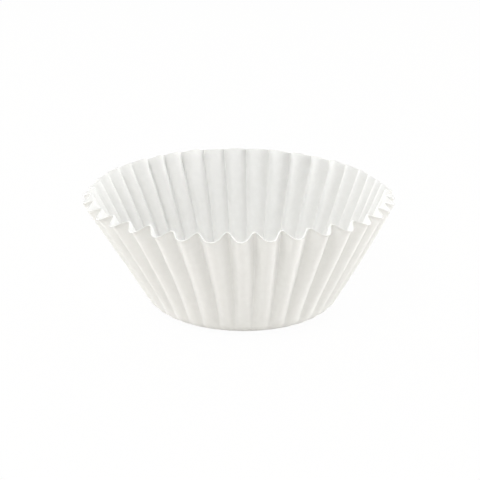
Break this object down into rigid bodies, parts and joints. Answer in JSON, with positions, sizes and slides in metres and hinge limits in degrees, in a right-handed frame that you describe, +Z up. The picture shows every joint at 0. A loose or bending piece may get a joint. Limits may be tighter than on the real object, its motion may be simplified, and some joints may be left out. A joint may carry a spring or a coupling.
{
  "type": "paper candy cup",
  "caption": "Shallow white paper cup with a flat round base and a flared fluted wall, pressed from one thin sheet, that holds a single sweet or small baked treat.",
  "frame": {"origin": "middle of the flat underside of the base, on the surface that the cup stands on", "axes": "+Z up, out of the mouth; -Y towards the viewer of the picture; +X to that viewer's right"},
  "size_m": [0.0529, 0.0518, 0.0214],
  "materials": {
    "paper": "dull white greaseproof paper, thin enough to let some light through"
  },
  "bodies": {
    "root": {"fluted_cup": "paper"}
  },
  "joints": []
}
